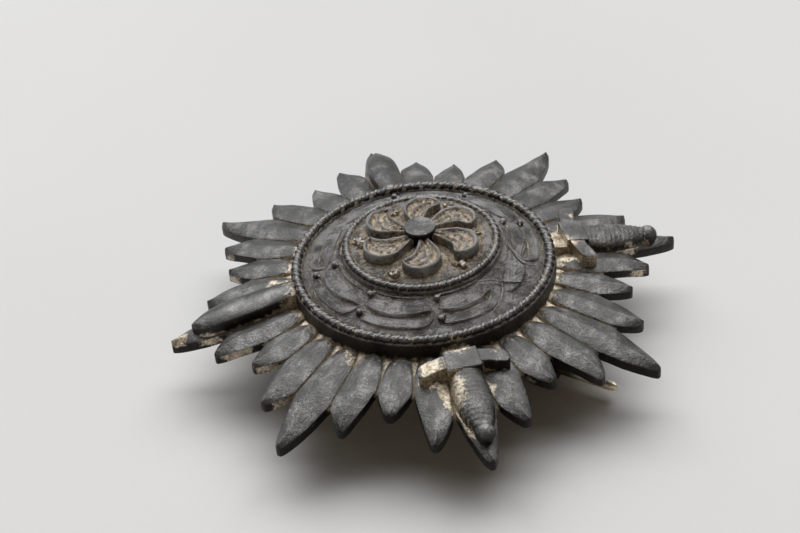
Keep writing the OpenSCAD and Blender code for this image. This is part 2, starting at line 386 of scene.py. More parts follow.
webs = []
for notch, gaps in ((FAR, (0, 3)), (NEAR, (1, 2))):
    one = web(notch)
    softened(one, 0.06)
    webs += [copied(one, heading(k + 0.5)) for k in range(32) if k % 4 in gaps]
    discard(one)
webs = closed(joined(webs, "ray_webs"))
print("webs have", len(webs.data.polygons), "faces")

# %% [markdown]
# ## Medallion
# The raised round in the middle is turned work: an upright wall that painted shade darkens, a seat
# for the outer rope, a hollow ring for the wreath, a step for the inner rope and a dish for the
# rosette. It could be spun from a profile. Here a circle is extruded and scaled from row to row,
# which does the same and leaves no seam.

# %% Turning a profile
def turned(profile, points=192):
    """A solid turned about the star's axis. The profile has (radius, height) pairs in mm, from the
    outside in."""
    free()
    r, z = profile[0]
    bpy.ops.mesh.primitive_circle_add(vertices=points, radius=r * MM, fill_type="NGON",
                                      location=(0, 0, z * MM))
    body = bpy.context.object
    take(body)
    bpy.ops.object.transform_apply()
    edit(body)
    for (r0, z0), (r1, z1) in zip(profile, profile[1:]):
        bpy.ops.mesh.extrude_region_move(TRANSFORM_OT_translate={"value": (0, 0, (z1 - z0) * MM)})
        bpy.ops.transform.resize(value=(r1 / r0, r1 / r0, 1), center_override=(0, 0, z1 * MM))
    free()
    return body


def roughened(piece, fineness, depth):
    """Moves each point a little, as the skin of a casting is. The depth is in mm."""
    for v in piece.data.vertices:
        v.co += noise.noise_vector(v.co * fineness) * depth * MM


ROPE_R, ROPE_Z, ROPE_T = 12.15, TIP_Z + 4.04, 0.95
INNER_R, INNER_Z, INNER_T = 7.14, TIP_Z + 6.0, 0.8
ROSE_Z, HUB_Z = TIP_Z + 5.95, TIP_Z + 7.46
RING_START, RING_END = 7.64, 11.5


def ring_z(r):
    """Height of the slightly hollow ring between the ropes."""
    s = (r - RING_START) / (RING_END - RING_START)
    return TIP_Z + 5.1 - 1.75 * s - 0.35 * s * (1 - s)


print("heights of the ropes' crests:", round(ROPE_Z, 2), "and", round(INNER_Z, 2), "mm")

# %% The medallion's body
WALL = [(11.6, 1.2), (12.3, 0.5), (12.68, 0.6), (12.7, 1.6), (12.7, 2.4), (12.7, 3.25), (12.64, 3.42),
        (12.5, 3.5), (11.75, 3.5), (11.62, 3.42)]
INNER_SEAT = [(7.58, -0.6), (7.4, -0.45), (6.82, -0.42), (6.74, -0.36)]
DISH = [(6.66, -0.16), (6.3, -0.14), (5.2, -0.04), (4, 0.05), (2, 0.1), (0.6, 0.1)]
profile = [(r, TIP_Z + z) for r, z in WALL]
profile += [(11.55, ring_z(11.5) - 0.12), (11.4, ring_z(11.35) - 0.05)]
profile += [(r, ring_z(r)) for r in np.linspace(11.15, 7.95, 17)]
profile += [(r, ring_z(r) - low) for r, low in ((7.8, 0.06), (7.7, 0.2), (7.62, 0.14))]
profile += [(r, INNER_Z + z) for r, z in INNER_SEAT]
profile += [(r, ROSE_Z + z) for r, z in DISH]
medallion = closed(turned(profile))
medallion.name = "medallion"
roughened(medallion, 500, 0.03)
print("medallion stands", round(max(v.co.z for v in medallion.data.vertices) / MM, 2), "mm over the table")

# %% [markdown]
# ## Ropes
# Each ring carries a twisted rope. It could be a twisted tube, but the star's ropes are struck from
# above, and only slanting beads show. So one strand is a small bean that lies across the rope's
# crest. It is modelled once and set round the ring, over a plain core that closes the gaps.

# %% The ropes
OUTER_STRANDS = 86
INNER_STRANDS = 58
SLANT = radians(-42)


def around(a, r, z):
    """A point at an angle in degrees and a distance from the star's axis."""
    return Vector((r * cos(radians(a)), r * sin(radians(a)), z))


def strand(long, wide, high):
    free()
    bpy.ops.mesh.primitive_uv_sphere_add(segments=10, ring_count=7, radius=1, rotation=(0, pi / 2, 0))
    bean = bpy.context.object
    bpy.ops.object.transform_apply()
    bean.scale = Vector((long, wide, high)) * MM
    bpy.ops.object.transform_apply()
    bean.rotation_euler = (0, 0, SLANT)
    bpy.ops.object.transform_apply()
    return bean


def rope(name, r, z, thick, count):
    pitch = 2 * pi * r / count * cos(SLANT)
    bean = strand(thick * 0.64, pitch * 0.46, thick * 0.46)
    beans = []
    for i in range(count):
        a = 360 * i / count
        wave = 0.03 * noise.noise(Vector((a * 0.31, r, 0)))
        beans.append(copied(bean, a, around(a, r + wave, z - thick * 0.46 + wave)))
    discard(bean)
    bpy.ops.mesh.primitive_torus_add(major_segments=128, minor_segments=12, major_radius=r * MM,
                                     minor_radius=thick * 0.40 * MM,
                                     location=(0, 0, (z - thick * 0.5) * MM))
    core = bpy.context.object
    bpy.ops.object.transform_apply()
    whole = joined(beans + [core], name)
    take(whole)
    bpy.ops.object.shade_smooth()
    return whole


outer_rope = rope("outer_rope", ROPE_R, ROPE_Z, ROPE_T, OUTER_STRANDS)
inner_rope = rope("inner_rope", INNER_R, INNER_Z, INNER_T, INNER_STRANDS)
print("faces in the ropes:", len(outer_rope.data.polygons), "and", len(inner_rope.data.polygons))

# %% [markdown]
# ## Wreath
# Low laurel leaves run round both halves of the ring, from a tie at the foot to the top. Each group
# has a broad leaf between two narrower ones, and a pair of berries where two groups meet. A leaf
# could be cut from a plate. It is a flat grid that is bent round the ring instead, so that it
# follows the hollow and its own UV map, which later carries its veins, runs along it.

# %% One leaf
def bell(at, middle, width):
    """1 in the middle, falling softly to 0 on both sides."""
    return exp(-((at - middle) / width) ** 2)


def leaf(a0, a1, r0, r1, bow, half, rise, side=1, hook=0.0, blunt=0.6, peak=1.2):
    """A leaf along the ring from angle a0 to a1, with its middle between two radii. A hook turns its
    first end inwards, a low blunt makes its ends rounder, and peak moves its widest place."""
    free()
    bpy.ops.mesh.primitive_grid_add(x_subdivisions=30, y_subdivisions=14, size=2, calc_uvs=True)
    blade = bpy.context.object
    for v in blade.data.vertices:
        s, t = (v.co.x + 1) / 2, v.co.y
        wide = 0.04 + half * max(0.0, sin(pi * s ** peak)) ** blunt
        mid = r0 + (r1 - r0) * s + bow * sin(pi * s) - hook * max(0.0, 1 - s / 0.16) ** 1.5
        r = mid + t * wide
        a = radians(a0 + (a1 - a0) * s)
        flat = 1 - abs(t) ** 10
        rib = 0.05 * bell(t, 0, 0.09) - 0.04 * bell(abs(t), 0.2, 0.1)
        rim = 0.06 * bell(abs(t), 0.82, 0.11)
        ends = min(1.0, 9 * s + 0.25, 9 * (1 - s) + 0.25)
        cast = 0.05 * noise.noise(Vector((r * 1.6, a * 14, side * 3)))
        up = rise * ends * (flat * (0.74 + 0.26 * t) + rib + rim) + cast * flat
        z = ring_z(r) + up - 0.16 * abs(t) ** 14 - 0.02
        v.co = Vector((side * r * cos(a), r * sin(a), z)) * MM
    edit(blade)
    bpy.ops.mesh.region_to_loop()
    bpy.ops.mesh.extrude_region_move(TRANSFORM_OT_translate={"value": (0, 0, -0.3 * MM)})
    bpy.ops.mesh.edge_face_add()
    return closed(blade, 60)


print("the leaves lie about", round(ring_z(9), 2), "mm over the table")

# %% All leaves
# Each row: middle at the base, middle at the tip, bow, half width, rise, start, end, hook, bluntness, peak
LEAVES = [
    (10.22, 10.3, 0.06, 0.49, 0.31, 0.03, 0.95, 0.95, 0.22, 1.0),
    (7.84, 7.84, 0.0, 0.10, 0.2, 0.12, 0.97, 0.0, 0.4, 1.0),
    (8.92, 8.98, 0.06, 0.76, 0.46, 0.05, 0.96, -0.25, 0.5, 1.35),
]
# Angles where the groups of each side start and end, and how far each group lies outwards in mm
GROUPS = {1: [-71, -33, 8, 49, 88], -1: [-78, -40.5, 4.5, 47, 88]}
SHIFT = {1: [0.35, 0.2, 0, 0], -1: [-0.1, 0.0, 0.22, 0.1]}
leaves = []
for side, bases in GROUPS.items():
    for base, top, shift in zip(bases, bases[1:], SHIFT[side]):
        for r0, r1, bow, half, rise, start, end, hook, blunt, peak in LEAVES:
            leaves.append(leaf(base + (top - base) * start, base + (top - base) * end, r0 + shift,
                               r1 + shift, bow, half, rise, side, hook, blunt, peak))
print("leaves:", len(leaves))
leaves = joined(leaves, "wreath_leaves")
print("with", len(leaves.data.polygons), "faces")

# %% [markdown]
# The berries are small round lumps on short stalks. A ball, pushed a little out of shape, is close
# enough at half a millimetre. Stalks and ribbon strands are thin curves with a round back, because
# a curve needs only a few points and can swell and thin along its way.

# %% Berries
def on_ring(a, r, up):
    return around(a, r, ring_z(r) + up)


def cordlet(points, radius, taper=None):
    """A thin round-backed line through points in mm, made from a curve."""
    free()
    line = bpy.data.curves.new("line", "CURVE")
    line.dimensions = "3D"
    line.bevel_depth = radius * MM
    line.bevel_resolution = 2
    line.use_fill_caps = True
    run = line.splines.new("POLY")
    run.points.add(len(points) - 1)
    for i, (point, at) in enumerate(zip(run.points, points)):
        point.co = (*(at * MM), 1)
        point.radius = taper(i / (len(points) - 1)) if taper else 1
    piece = bpy.data.objects.new("line", line)
    bpy.context.scene.collection.objects.link(piece)
    take(piece)
    bpy.ops.object.convert(target="MESH")
    return bpy.context.object


BERRIES = ((8.25, 0.33), (10.1, 0.34))
berries = []
for side, bases in GROUPS.items():
    for base, shift in zip(bases[1:4], SHIFT[side]):
        for r, size in BERRIES:
            at = on_ring(base - 1.2, r + shift, 0.2) * MM
            at.x *= side
            free()
            bpy.ops.mesh.primitive_uv_sphere_add(segments=18, ring_count=12, radius=size * MM, location=at)
            berry = bpy.context.object
            bpy.ops.object.transform_apply()
            for v in berry.data.vertices:
                v.co += (v.co - at) * 0.25 * noise.noise(v.co * 1500)
            foot, top = on_ring(base - 4, r + shift - 0.3, 0.18), on_ring(base - 1.2, r + shift, 0.3)
            stalk = cordlet([foot, top], 0.1)
            for v in stalk.data.vertices:
                v.co.x *= side
            berries += [berry, stalk]
berries = closed(joined(berries, "wreath_berries"), 60)
print("berries have", len(berries.data.polygons), "faces")

# %% [markdown]
# At the foot a ribbon ties the two halves of the wreath. It is worn to a flat patch with a few
# crossing strands. The patch is one more leaf, broad and blunt, and the strands are smooth lines
# through listed points, which is how they would be drawn.

# %% The ribbon
def smoothed(points, steps=6):
    """Points on a smooth curve through the given ones."""
    ends = [points[0], *points, points[-1]]
    out = []
    for p0, p1, p2, p3 in zip(ends, ends[1:], ends[2:], ends[3:]):
        for s in range(steps):
            t = s / steps
            out.append(0.5 * (2 * p1 + (p2 - p0) * t + (2 * p0 - 5 * p1 + 4 * p2 - p3) * t * t
                              + (3 * p1 - p0 - 3 * p2 + p3) * t ** 3))
    return out + [points[-1]]


# Angle and distance of each strand's points
RIBBON = [
    [(-112, 11.0), (-106, 10.6), (-100, 9.95), (-95, 9.25), (-91, 8.55)],
    [(-84, 11.0), (-90, 10.1), (-96, 9.1), (-101, 8.5), (-108, 8.05)],
    [(-72, 10.95), (-73.5, 10.3), (-73, 9.6), (-69, 8.9), (-60, 8.1)],
    [(-71, 9.45), (-65, 9.4), (-58, 9.6), (-50, 9.95)],
]
ribbon = [leaf(-64, -97, 8.75, 9.9, 0.1, 0.95, 0.30, 1, 0.0, 0.35, 1.0)]
for n, line in enumerate(RIBBON):
    points = [on_ring(a, r, 0.28 + 0.03 * n) for a, r in line]
    ribbon.append(cordlet(smoothed(points), 0.09, lambda s: 0.6 + 0.4 * sin(pi * s)))
ribbon = closed(joined(ribbon, "wreath_ribbon"), 60)
print("ribbon has", len(ribbon.data.polygons), "faces")

# %% [markdown]
# ## Rosette
# Six comma-shaped petals swirl round a flat hub. Each is a cup with a rim and two ridges that follow
# the swirl. It could be cut from its outline and inset, but then the ridges would have to be laid on
# by hand. So a grid is laid between its outer and its inner edge, cup and ridges are raised in the
# grid, and the wall is drawn down from the border.

# %% One petal
OUTER_EDGE = [(1.0, 0.62), (1.6, 0.84), (2.4, 1.22), (3.3, 1.62), (4.3, 1.7), (5.15, 1.3), (5.75, 0.5),
              (5.9, -0.4), (5.62, -1.2), (5.15, -1.72), (4.62, -1.95)]
INNER_EDGE = [(1.0, -0.12), (2.3, -0.42), (3.3, -0.74), (3.8, -1.05), (4.08, -1.45), (4.28, -1.84)]
PETAL_Z = ROSE_Z + 1.05


def evenly(points, count):
    """Evenly spaced points on a smooth curve through the given ones."""
    line = smoothed([Vector((x, y, 0)) for x, y in points], 8)
    run = np.concatenate([[0], np.cumsum([(b - a).length for a, b in zip(line, line[1:])])])
    stops = np.linspace(0, run[-1], count)
    xs, ys = (np.interp(stops, run, [p[axis] for p in line]) for axis in (0, 1))
    return [Vector((x, y, 0)) for x, y in zip(xs, ys)]


def petal(rows=46, columns=30):
    outer, inner = evenly(OUTER_EDGE, rows + 1), evenly(INNER_EDGE, rows + 1)
    free()
    bpy.ops.mesh.primitive_grid_add(x_subdivisions=rows, y_subdivisions=columns, size=2)
    body = bpy.context.object
    for v in body.data.vertices:
        s, t = (v.co.x + 1) / 2, ((v.co.y + 1) / 2) ** 1.15
        i = round(s * rows)
        wide = (outer[i] - inner[i]).length
        place = outer[i].lerp(inner[i], t)
        rim, lip = t * wide, (1 - t) * wide
        cup = 0.46 * (1 - exp(-(max(0.0, min(rim, lip * 1.3) - 0.12) / 0.36) ** 3))
        swirl = min(1.0, 6 * s) * min(1.0, 4 * (1 - s))
        ridges = 0.25 * bell(t, 0.42, 0.085) + 0.24 * bell(t, 0.7, 0.075)
        worn = 0.05 * noise.noise(Vector((place.x * 1.7, place.y * 1.7, 4)))
        corner = 0.13 * (max(0.0, 1 - rim / 0.13) ** 2 + max(0.0, 1 - lip / 0.1) ** 2)
        start = 0.12 * max(0, 1 - s * 5)
        place.z = PETAL_Z - cup + ridges * swirl + worn - corner - start
        v.co = place * MM
    edit(body)
    bpy.ops.mesh.region_to_loop()
    for drop in (0.35, 0.85):
        bpy.ops.mesh.extrude_region_move(TRANSFORM_OT_translate={"value": (0, 0, -drop * MM)})
        bpy.ops.transform.resize(value=(1.015, 1.015, 1), center_override=Vector((3.8, 0, 0)) * MM)
    bpy.ops.mesh.edge_face_add()
    return closed(body, 60)


print("the petals' rims stand", round(PETAL_Z, 2), "mm over the table")

# %% Six petals
# Each row: turn in degrees, size and lift in mm
PETALS = [(153, 0.99, 0.0), (215, 1.0, 0.02), (277, 1.0, 0.0), (333, 0.98, -0.03), (31, 0.96, -0.05),
          (94, 0.98, 0.0)]
one = petal()
petals = [copied(one, turn, (0, 0, lift), (size, size, 1)) for turn, size, lift in PETALS]
discard(one)
petals = joined(petals, "rosette_petals")
print("petals have", len(petals.data.polygons), "faces")

# %% [markdown]
# The hub is the highest point of the star, a flat round button that years of rubbing have kept
# bright. It is turned as the medallion is.

# %% The hub
HUB_FOOT = [(1.42, ROSE_Z - 0.3), (1.36, ROSE_Z + 0.6)]
HUB_BUTTON = [(1.42, -0.5), (1.5, -0.32), (1.5, -0.12), (1.44, -0.03), (1.34, 0), (1.1, -0.01),
              (0.7, -0.02), (0.3, -0.02)]
hub = closed(turned(HUB_FOOT + [(r, HUB_Z + z) for r, z in HUB_BUTTON], 64))
hub.name = "rosette_hub"
roughened(hub, 1400, 0.025)
print("hub top at", round(max(v.co.z for v in hub.data.vertices) / MM, 2), "mm")

# %% [markdown]
# Small shapeless lumps of metal stand between the petals' ends and the inner rope. Each starts as a
# ball that noise pushes in and out, because no drawn outline looks as worn.

# %% Lumps round the rosette
LUMP_ANGLES = (184, 187, 248, 253, 305, 309, 2, 6, 60, 64, 122, 127)
random.seed(5)
lumps = []
for a in LUMP_ANGLES:
    free()
    bpy.ops.mesh.primitive_ico_sphere_add(subdivisions=4, radius=MM)
    lump = bpy.context.object
    size = random.uniform(0.32, 0.55)
    for v in lump.data.vertices:
        v.co *= 1 + 0.45 * noise.noise(v.co * 1900 + Vector((a, 0, 0)))
    lump.location = around(a, random.uniform(4.9, 6.0), ROSE_Z + 0.05) * MM
    lump.rotation_euler = (0, 0, radians(a + random.uniform(-30, 30)))
    lump.scale = (size * 1.1, size * 0.8, size * 0.7)
    bpy.ops.object.transform_apply()
    lumps.append(lump)
lumps = closed(joined(lumps, "rosette_lumps"), 60)
print("lumps have", len(lumps.data.polygons), "faces")

# %% [markdown]
# ## Swords
# Two swords cross behind the medallion, so only their points and their hilts show, on four of the
# long rays. A blade is a flat bar with bevelled edges and a tapering point. It is drawn out as the
# rays are, so it lies along the same dome, a little above the ray's ridge.

# %% Blades
RISE = 1.1
BLADE = mirrored([(-1.06, -1), (-1, -0.22), (-0.5, -0.06), (0, 0)])
# Each row: distance, half width and how far the blade has sunk
BLADE_ROWS = [(12.4, 1.15, 0), (14, 1.3, 0), (16, 1.42, 0), (18, 1.5, 0), (19.5, 1.46, 0), (20.6, 1.34, 0),
              (21.4, 1.15, 0.03), (22.0, 0.86, 0.08), (22.45, 0.52, 0.16), (22.75, 0.2, 0.28)]
one = drawn_out(BLADE, [(r, 0, dome(r) + RISE - low, wide, 1.9) for r, wide, low in BLADE_ROWS])
softened(one, 0.09)
refined(one)
blades = closed(joined([copied(one, heading(k)) for k in (8, 16)], "sword_blades"), 40)
discard(one)
print("blades have", len(blades.data.polygons), "faces")

# %% [markdown]
# A hilt has a short guard with two flared arms and a block in the middle, and the blade's root goes
# from there under the medallion's edge. They are flat plates, cut to an outline and given a
# thickness, because the real ones are stamped with flat tops and upright walls.

# %% The guard
def sword_top(x, y):
    return dome(hypot(x, y)) + RISE


def plate(outline, thick, lift=0.0):
    """A flat plate over a ray: an outline in mm on the swords' own height, cut straight down."""
    free()
    bpy.ops.mesh.primitive_circle_add(vertices=len(outline), radius=MM, fill_type="NGON")
    body = bpy.context.object
    for v, (x, y) in zip(body.data.vertices, outline):
        v.co = Vector((x, y, sword_top(x, y) + lift)) * MM
    edit(body)
    bpy.ops.mesh.extrude_region_move(TRANSFORM_OT_translate={"value": (0, 0, -thick * MM)})
    return closed(body, 30)


ARM = [(14.2, 1.4), (14.35, 2.4), (14.6, 3.5), (14.8, 3.95), (15.2, 4.1), (15.9, 4.2), (16.15, 3.85),
       (15.95, 3.0), (15.7, 2.2), (15.65, 1.4)]
OTHER_ARM = [(x, -y) for x, y in reversed(ARM)]
BLOCK = [(13.95, -1.55), (16.1, -1.62), (16.15, 1.62), (13.9, 1.55)]
ROOT = [(12.4, -1.2), (14.3, -1.3), (14.3, 1.3), (12.4, 1.2)]
guard = [plate(ARM, 1.5), plate(OTHER_ARM, 1.5), plate(BLOCK, 1.7, 0.12), plate(ROOT, 1.4, -0.95)]
for part in guard:
    softened(part, 0.1)
    refined(part, 3)
print("plates in a guard:", len(guard))

# %% [markdown]
# The grip is a barrel wound with wire, with a round pommel at its end. Real wire would be a long
# coil. At this size it is only a ripple, so the barrel is drawn out with four stations to each turn
# of the wire, and then sheared a little, so that the turns lie aslant.

# %% The grip, the pommel and both hilts
TURNS = 13
GRIP_START, GRIP_LONG, GRIP_WIDE = 16.1, 6.3, 1.75
WIRE = 0.025
ARC = [(cos(radians(a)), -1 + sin(radians(a))) for a in range(180, -1, -15)]
BARREL = [(-1, -1.9)] + ARC + [(1, -1.9)]
stations = []
for i in range(TURNS * 4 + 1):
    s = i / (TURNS * 4)
    x = GRIP_START + GRIP_LONG * s
    wide = GRIP_WIDE * (0.8 + 0.2 * sin(radians(200 * s)) - 0.4 * s ** 3)
    wire = WIRE * cos(2 * pi * TURNS * s)
    stations.append((x, 0, sword_top(x, 0) + wire, wide + wire, 1.1 * wide / GRIP_WIDE))
grip = drawn_out(BARREL, stations)
for v in grip.data.vertices:
    v.co.x += 0.16 * v.co.y
bpy.ops.mesh.primitive_uv_sphere_add(segments=24, ring_count=14, radius=0.92 * MM,
                                     location=Vector((22.55, 0, sword_top(22.9, 0) - 0.6)) * MM)
pommel = bpy.context.object
bpy.ops.object.transform_apply()
one = closed(joined(guard + [grip, pommel], "hilt"), 40)
hilts = joined([copied(one, heading(k)) for k in (0, 24)], "sword_hilts")
discard(one)
roughened(hilts, 900, 0.03)
print("hilts have", len(hilts.data.polygons), "faces")

# %% [markdown]
# ## The fitting on the back
# A hinge block and a catch are soldered under the star and carry a brass needle. The star rests on
# them. The picture hides them, so they are the plainest that work: bars with a slot and a hook.
# Bars start as cubes at their place and size, because nothing finer shows.

# %% The hinge block and the catch
def bar(x, y, low, high, wide, deep):
    free()
    bpy.ops.mesh.primitive_cube_add(size=1, location=Vector((x, y, (low + high) / 2)) * MM,
                                    scale=Vector((wide, deep, high - low)) * MM)
    body = bpy.context.object
    bpy.ops.object.transform_apply()
    return body


def soldered(parts, width, name):
    for part in parts:
        softened(part, width, segments=3)
    return closed(joined(parts, name), 40)


HINGE_Y, CATCH_Y = 15, -13.5
block_top, catch_top = dome(16.5) - 1.2, dome(14.5) - 1.2
hinge = soldered([bar(-2.95, HINGE_Y, 0, block_top, 3.1, 3), bar(2.95, HINGE_Y, 0, block_top, 3.1, 3),
                  bar(0, HINGE_Y, 2.6, block_top, 2.9, 2.98)], 0.18, "hinge_block")
catch = soldered([bar(0, CATCH_Y, 1.95, catch_top, 3.6, 2), bar(-1.25, CATCH_Y, 0, 2.2, 1.1, 2),
                  bar(1.25, CATCH_Y, 0, 0.62, 1.1, 2), bar(0, CATCH_Y, 0, 0.6, 3.4, 1.98)], 0.15, "catch")
print("hinge block and catch are", round(block_top, 2), "and", round(catch_top, 2), "mm high")

# %% [markdown]
# The needle is a thin brass rod with a rounded point and an eye in the hinge block's slot. A lathe
# would make it, so it is turned upright from its profile and then laid down.

# %% The needle
NEEDLE_Z = 1.3
NEEDLE = [(0.2, 0), (0.5, 0.02), (0.5, 20), (0.5, 34.6), (0.46, 35.1), (0.36, 35.45), (0.2, 35.68),
          (0.06, 35.76)]
needle = turned(NEEDLE, 32)
needle.rotation_euler = (pi / 2, 0, 0)
needle.location = Vector((-0.1, HINGE_Y, NEEDLE_Z)) * MM
take(needle)
bpy.ops.object.transform_apply()
free()
bpy.ops.mesh.primitive_cylinder_add(vertices=48, radius=1.1 * MM, depth=2.2 * MM,
                                    rotation=(0, pi / 2, 0),
                                    location=Vector((0, HINGE_Y, NEEDLE_Z)) * MM)
eye = bpy.context.object
bpy.ops.object.transform_apply()
softened(eye, 0.12)
pin = closed(joined([needle, eye], "needle"), 40)
print("needle's tip at", round(min(v.co.y for v in pin.data.vertices) / MM, 2), "mm")

# %% [markdown]
# ## How sheltered and how exposed each point is
# Gilding, dirt, oxide and painted shade stay in the corners, and wear and painted highlights
# brighten the crests. Both could be painted by hand.
# They are measured on the finished shapes instead, so that they fit every dent. Short lines of sight
# go out from each point, and the share that is blocked is its shelter. The bend of the surface round
# a point says how exposed it is.

# %% A search tree over the whole star
STAR = [rays, webs, medallion, outer_rope, inner_rope, leaves, berries, ribbon, petals, hub, lumps,
        blades, hilts, hinge, catch]


def mesh_of(piece):
    """A piece's points and the corners of its triangles, as two arrays."""
    points = np.zeros(len(piece.data.vertices) * 3)
    piece.data.vertices.foreach_get("co", points)
    piece.data.calc_loop_triangles()
    corners = np.zeros(len(piece.data.loop_triangles) * 3, int)
    piece.data.loop_triangles.foreach_get("vertices", corners)
    return points.reshape(-1, 3), corners.reshape(-1, 3)


all_points, all_faces, start = [], [], 0
for piece in STAR:
    points, faces = mesh_of(piece)
    all_points += points.tolist()
    all_faces += (faces + start).tolist()
    start += len(points)
tree = BVHTree.FromPolygons(all_points, all_faces)
print("points and triangles in the tree:", len(all_points), len(all_faces))

# %% Shelter
SIGHT_REACH = 1.1 * MM
GOLDEN_TURN = 2.39996  # in radians; with it no two sights fall together
SIGHTS = []
for i in range(14):
    up = (i + 0.5) / 14
    flat = sqrt(1 - up * up)
    SIGHTS.append(Vector((cos(i * GOLDEN_TURN) * flat, sin(i * GOLDEN_TURN) * flat, up)))


def shelter_of(piece):
    """Share of the sky that is blocked close by, for each point."""
    out = np.zeros(len(piece.data.vertices))
    for n, v in enumerate(piece.data.vertices):
        turn = v.normal.to_track_quat("Z", "Y")
        eye_at = v.co + v.normal * 0.03 * MM
        blocked = 0.0
        for sight in SIGHTS:
            hit = tree.ray_cast(eye_at, turn @ sight, SIGHT_REACH)
            if hit[0] is not None:
                blocked += 1 - 0.5 * hit[3] / SIGHT_REACH
        out[n] = blocked / len(SIGHTS)
    return out


print("lines of sight from each point:", len(SIGHTS))

# %% Exposure
def exposure_of(piece):
    """How far each point stands out from its neighbours, from 0 to 1."""
    points, _ = mesh_of(piece)
    normals = np.array([v.normal for v in piece.data.vertices])
    edges = np.array([e.vertices for e in piece.data.edges])
    apart = points[edges[:, 1]] - points[edges[:, 0]]
    length = np.maximum(np.linalg.norm(apart, axis=1), 1e-7)
    bend, weight = np.zeros(len(points)), np.zeros(len(points))
    for at, sign in ((0, 1), (1, -1)):
        lean = -(apart * sign * normals[edges[:, at]]).sum(1) / length
        np.add.at(bend, edges[:, at], lean * length)
        np.add.at(weight, edges[:, at], length)
    bend /= np.maximum(weight, 1e-9)
    soft = bend.copy()
    for _ in range(2):
        total, count = soft.copy(), np.ones(len(points))
        for here, there in ((0, 1), (1, 0)):
            np.add.at(total, edges[:, here], soft[edges[:, there]])
            np.add.at(count, edges[:, here], 1)
        soft = total / count
    return np.clip(0.5 * soft + 0.5 * bend, 0, 1)


print("the hub's most exposed point:", round(float(exposure_of(hub).max()), 2))

# %% [markdown]
# ## Where the gilding has stayed
# Shelter alone would spread the gilding evenly. On the real star it has stayed in certain places:
# on the front hilt, in the crevices by the right one, on one blade's tip and on some rays' walls.
# These places are kept as a list of round spots, which is easier to read and to move than a painting.

# %% The gilded spots
# Each row: ray, distance from the centre, way across, height over the ridge, reach and how much stays.
# The spots on walls count only where the surface is steep.
GILT_SPOTS = [
    (0, 15.2, -3.0, 0.9, 1.6, 1.1), (0, 15.0, 3.2, 0.9, 1.3, 0.6), (0, 17.4, -1.4, 0.7, 2.4, 1.0),
    (0, 19.2, -1.6, 0.3, 1.5, 1.0), (0.5, 17.2, 0.2, -0.2, 1.4, 1.3), (1, 15.9, -0.2, 0.1, 1.2, 1.1),
    (31.5, 17.5, 0, -0.5, 1.3, 0.9), (0, 21.3, -1.4, 0, 1.5, 1.1), (0, 13.4, 0, 0.5, 1.6, 0.9),
    (8, 24.4, 0.2, 0, 1.5, 1.6), (4, 14.2, 1.2, 0, 1.3, 0.7), (24, 16.6, 2.2, 0.9, 1.2, 1.3),
    (24, 13.2, 0.2, 0.0, 1.4, 1.0), (24, 13.9, -1.8, 0.2, 1.6, 1.0), (24.5, 14.2, 0, -0.3, 1.6, 0.9),
    (24, 20.4, -1.5, -0.1, 1.4, 0.9), (24, 22.3, -0.7, 0.4, 0.9, 0.9), (9, 15.0, 0, 0, 1.5, 0.7),
    (23.1, 15.9, 0, 0.4, 1.3, 1.2),
]
WALL_SPOTS = [
    (8, 21.4, 1.3, -0.9, 1.7, 1.2), (7, 19.8, 1.0, -0.9, 2.1, 1.2), (6, 18.3, 0.7, -0.9, 1.6, 1.1),
    (5, 20.2, 0.9, -0.9, 1.7, 1.0), (4, 21.0, 1.0, -0.9, 1.2, 0.6), (10, 18.8, 0.5, -0.9, 1.3, 0.9),
    (11, 20.8, 0.6, -0.9, 1.3, 0.8), (12, 23.4, 0.5, -0.5, 1.4, 0.8), (24, 15.4, -4.1, 0.2, 1.7, 1.2),
    (25, 20.6, -0.9, -0.8, 1.6, 1.0), (28.5, 18.6, 0, -0.8, 1.0, 0.8), (30.5, 18.0, 0, -0.8, 1.1, 0.7),
]


def share(values):
    return np.clip(values, 0, 1)


def in_spots(points, spots):
    """How much gilding a list of spots leaves on each point."""
    much = np.zeros(len(points))
    for k, r, across, up, reach, left in spots:
        a = radians(heading(k))
        x, y = r * cos(a) - across * sin(a), r * sin(a) + across * cos(a)
        near = np.linalg.norm(points - np.array((x, y, dome(r) + up)), axis=1)
        much += 0.8 * left * share(1.15 - near / reach)
    return much


print("spots:", len(GILT_SPOTS), "on all sides and", len(WALL_SPOTS), "on walls alone")

# %% [markdown]
# Each kind of piece wears in its own way: ropes on the crests of their strands, petals on their
# rims, leaves on ribs and edges. The ropes' upward crests, the berries' tops and the top of each
# pommel also get painted highlights. The rays are rubbed least, because the medallion stands higher.
# Each rule is one line, and what comes out is noted on the points.

# %% Wear and gilding of each piece
# How worn each point is; some rules add painted highlights on tops that face the light.
def wear_and_highlight_of(piece, points, radius, upward, shelter):
    wear_and_highlight = exposure_of(piece)
    # ropes: the upward crests of the strands get wear and a painted highlight
    if piece in (outer_rope, inner_rope):
        return 0.6 * share((upward - 0.72) / 0.25) * share(1 - shelter * 1.6)
    if piece == rays:
        return 0.35 * wear_and_highlight
    if piece == leaves:
        return np.clip(3.0 * wear_and_highlight, 0, 0.8)
    # berries and ribbon: bend as wear, plus a painted highlight on the berries' tops
    if piece in (berries, ribbon):
        return np.clip(wear_and_highlight + 0.25 * (upward > 0.8), 0, 0.6)
    if piece == petals:
        return 0.65 * share((points[:, 2] - PETAL_Z + 0.2) / 0.12)
    # hilts: bend as wear, and a painted highlight on the top of the pommel
    if piece == hilts:
        return np.maximum(wear_and_highlight, 0.55 * (radius > 21.9) * share((upward - 0.86) / 0.1))
    return wear_and_highlight


